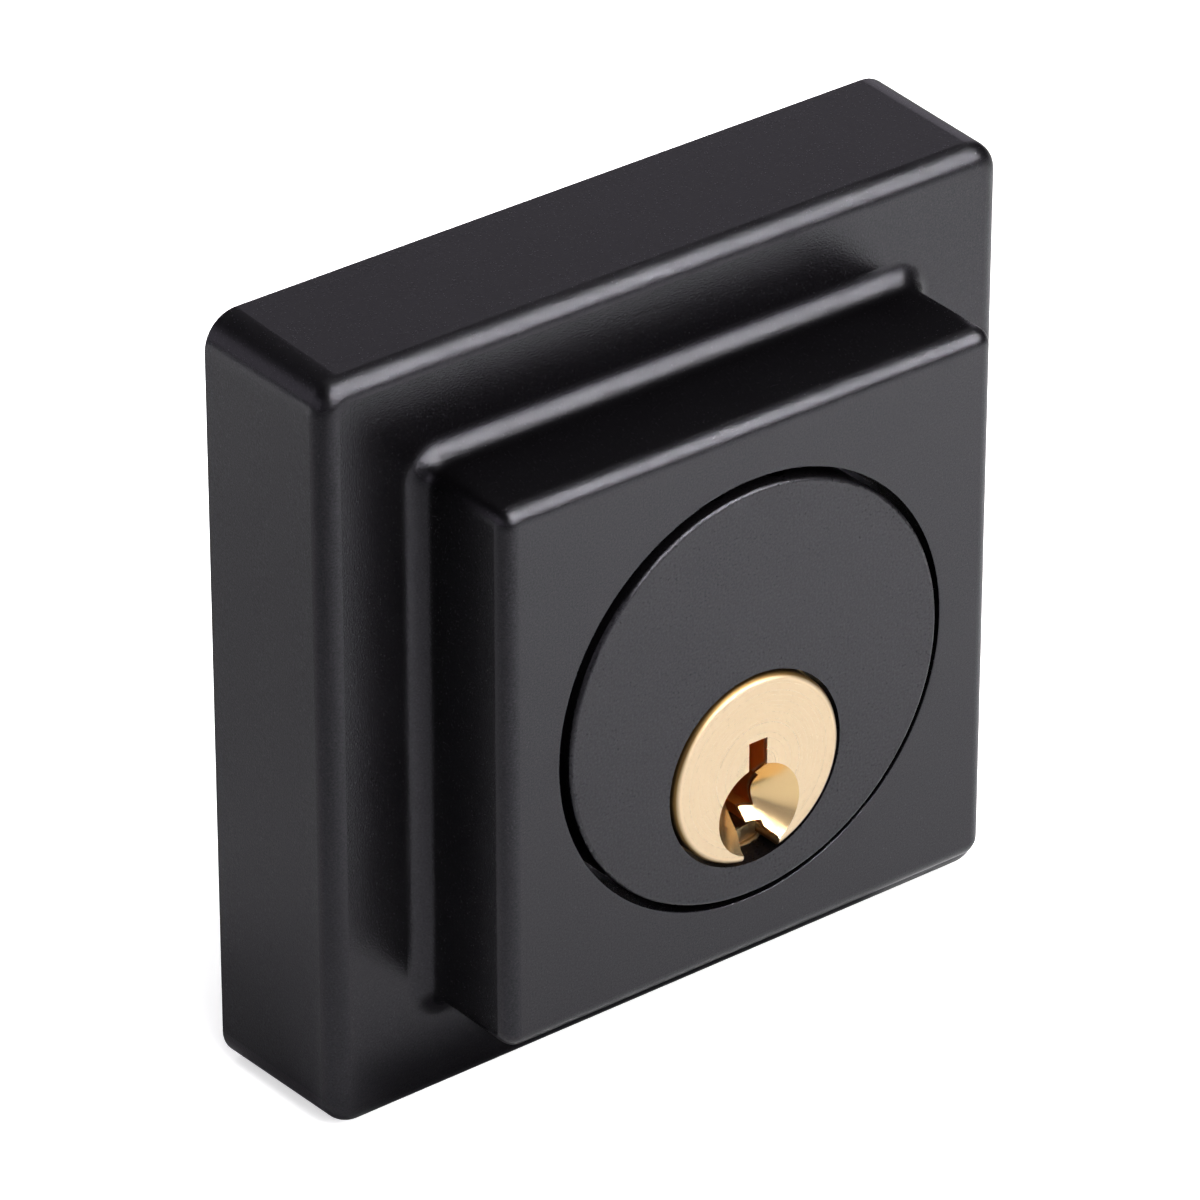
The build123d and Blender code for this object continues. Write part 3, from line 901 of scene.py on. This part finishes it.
@dataclass
class Studio:
    """Pale floor, soft lights, dimming surroundings and the camera.

    The key light is four layers, each larger than the one before, so that its image in a rounded
    edge fades to both sides.
    """

    floor_height: float = -30.02 * MM
    floor_reach: float = 4.0
    floor_tone: Colour = (0.86, 0.86, 0.86)
    floor_shade: float = 0.98
    floor_lift: float = 0.60
    floor_cloud: float = 0.35
    floor_grain: float = 0.6 * MM
    floor_grain_depth: float = 0.004 * MM
    floor_roughness: Span = (0.75, 0.85)
    surround_tone: Colour = (1.0, 0.94, 1.06)
    horizon: float = 0.72
    zenith: float = 0.052
    horizon_rise: Span = (0.38, 0.60)
    right_fade: Span = (0.68, 0.88)
    right_share: float = 0.1
    dim_side: Point = (-0.655, -0.717, 0.235)
    dim_fade: Span = (0.80, 0.93)
    dim_share: float = 0.35
    lens: float = 256.769
    sensor: float = 36.0
    clip: Span = (0.01, 50.0)
    eye: Point = (-0.321056, -0.415591, 0.305266)
    right: Point = (0.787764, -0.615977, -0.000065)
    up: Point = (0.311780, 0.398640, 0.862484)
    back: Point = (-0.531244, -0.679455, 0.506084)
    lights: tuple[Softbox, ...] = (
        Softbox("key_core", (0.33, -0.847, 0.877), (0.33, 0.0, 0.0), (1.55, 0.60), 2.4, first_hand=True),
        Softbox("key_inner", (0.35, -0.847, 0.877), (0.35, 0.0, 0.0), (1.58, 1.10), 3.0, first_hand=True),
        Softbox("key_outer", (0.39, -0.848, 0.878), (0.39, 0.0, 0.0), (1.66, 1.70), 2.3, first_hand=True),
        Softbox("key_rim", (0.43, -0.848, 0.878), (0.43, 0.0, 0.0), (1.74, 2.50), 1.75, first_hand=True),
        Softbox("sky", (0.4, 0.25, 1.2), (0.4, 0.0, 0.0), (1.7, 1.1), 0.36, first_hand=True),
        floor_pool("pool", (0.08, -0.13, 0.4), (0.08, -0.12, 0.0), 7.7),
        floor_pool("rear_pool", (-0.2, 0.2, 0.4), (-0.2, 0.2, 0.0), 6.4),
        Softbox("fill", (0.35, -0.05, 0.7), (-0.03, 0.0, 0.0), (1.0, 1.0), 1.0, shows_in_gloss=False),
    )

    def build(self) -> None:
        """Sets up the stage, the lights and the view."""
        self.lay_floor()
        self.set_surround()
        for light in self.lights:
            light.build()
        self.set_camera()
        bpy.context.scene.view_settings.view_transform = "Standard"

    def lay_floor(self) -> None:
        """A wide pale sheet just under the casting, lit a little more for the camera than for the casting."""
        shader = Shader("pale_floor", Emission_Color=(*[self.floor_lift] * 3, 1.0))
        path = shader.node("ShaderNodeLightPath", {})
        shader.wire("Emission Strength", path.outputs["Is Camera Ray"])
        cloud = shader.noise(shader.place(), self.floor_cloud, Busy.CLOUDED)
        grain = shader.noise(shader.place(), self.floor_grain)
        shaded = tuple(self.floor_shade * c for c in self.floor_tone)
        skin = shader.mix(cloud, shaded, self.floor_tone)
        gloss = shader.span(grain, self.floor_roughness)
        material = shader.finish(skin, gloss, shader.bump(grain, self.floor_grain_depth))
        ends = np.array([-self.floor_reach, self.floor_reach])
        x, y = np.meshgrid(ends, ends, indexing="ij")
        points = np.stack([x, y, np.full_like(x, self.floor_height)], axis=-1).reshape(-1, 3)
        piece("floor", points, [[0, 2, 3, 1]], material)

    def set_surround(self) -> None:
        """Soft light from all round, and white where the camera sees it.

        Its strength is the product of three smooth ramps: it falls with height, far to the right,
        and towards the dim side, by the cosine of the angle to it.
        """
        world = bpy.data.worlds.new("surround")
        world.use_nodes = True
        nodes = Nodes(world.node_tree)
        heading = nodes.node("ShaderNodeTexCoord", {}).outputs["Generated"]
        facing = nodes.node("ShaderNodeVectorMath", {0: heading, 1: self.dim_side}, operation="DOT_PRODUCT")
        ramps = (
            (nodes.part(heading, "Z"), (self.horizon, self.zenith), self.horizon_rise),
            (nodes.part(heading, "X"), (1.0, self.right_share), self.right_fade),
            (facing.outputs["Value"], (1.0, self.dim_share), self.dim_fade),
        )
        low, right, dim = (nodes.span(*ramp, interpolation_type="SMOOTHSTEP") for ramp in ramps)
        strength = nodes.math("MULTIPLY", nodes.math("MULTIPLY", low, right), dim)
        soft = nodes.node("ShaderNodeBackground", {"Color": (*self.surround_tone, 1.0), "Strength": strength})
        white = nodes.node("ShaderNodeBackground", {"Color": (1.0, 1.0, 1.0, 1.0)})
        seen = nodes.node("ShaderNodeLightPath", {}).outputs["Is Camera Ray"]
        shades = {"Fac": seen, 1: soft.outputs["Background"], 2: white.outputs["Background"]}
        mixer = nodes.node("ShaderNodeMixShader", shades)
        nodes.node("ShaderNodeOutputWorld", {"Surface": mixer.outputs["Shader"]})
        bpy.context.scene.world = world

    def set_camera(self) -> None:
        """A long lens from the front left and above."""
        camera = bpy.data.cameras.new("camera")
        camera.lens = self.lens
        camera.sensor_width = self.sensor
        camera.clip_start, camera.clip_end = self.clip
        view = bpy.data.objects.new("camera", camera)
        view.matrix_world = stance(self.right, self.up, self.back, self.eye)
        bpy.context.scene.collection.objects.link(view)
        bpy.context.scene.camera = view


def main() -> None:
    """Builds the sub-assemblies in order, then the studio."""
    logging.basicConfig(level=logging.INFO)
    for assembly in (Casing(), LockCylinder(), PlugAssembly(), RearFixings(), Studio()):
        assembly.build()
        LOG.info("%s done", type(assembly).__name__)


if __name__ == "__main__":
    main()
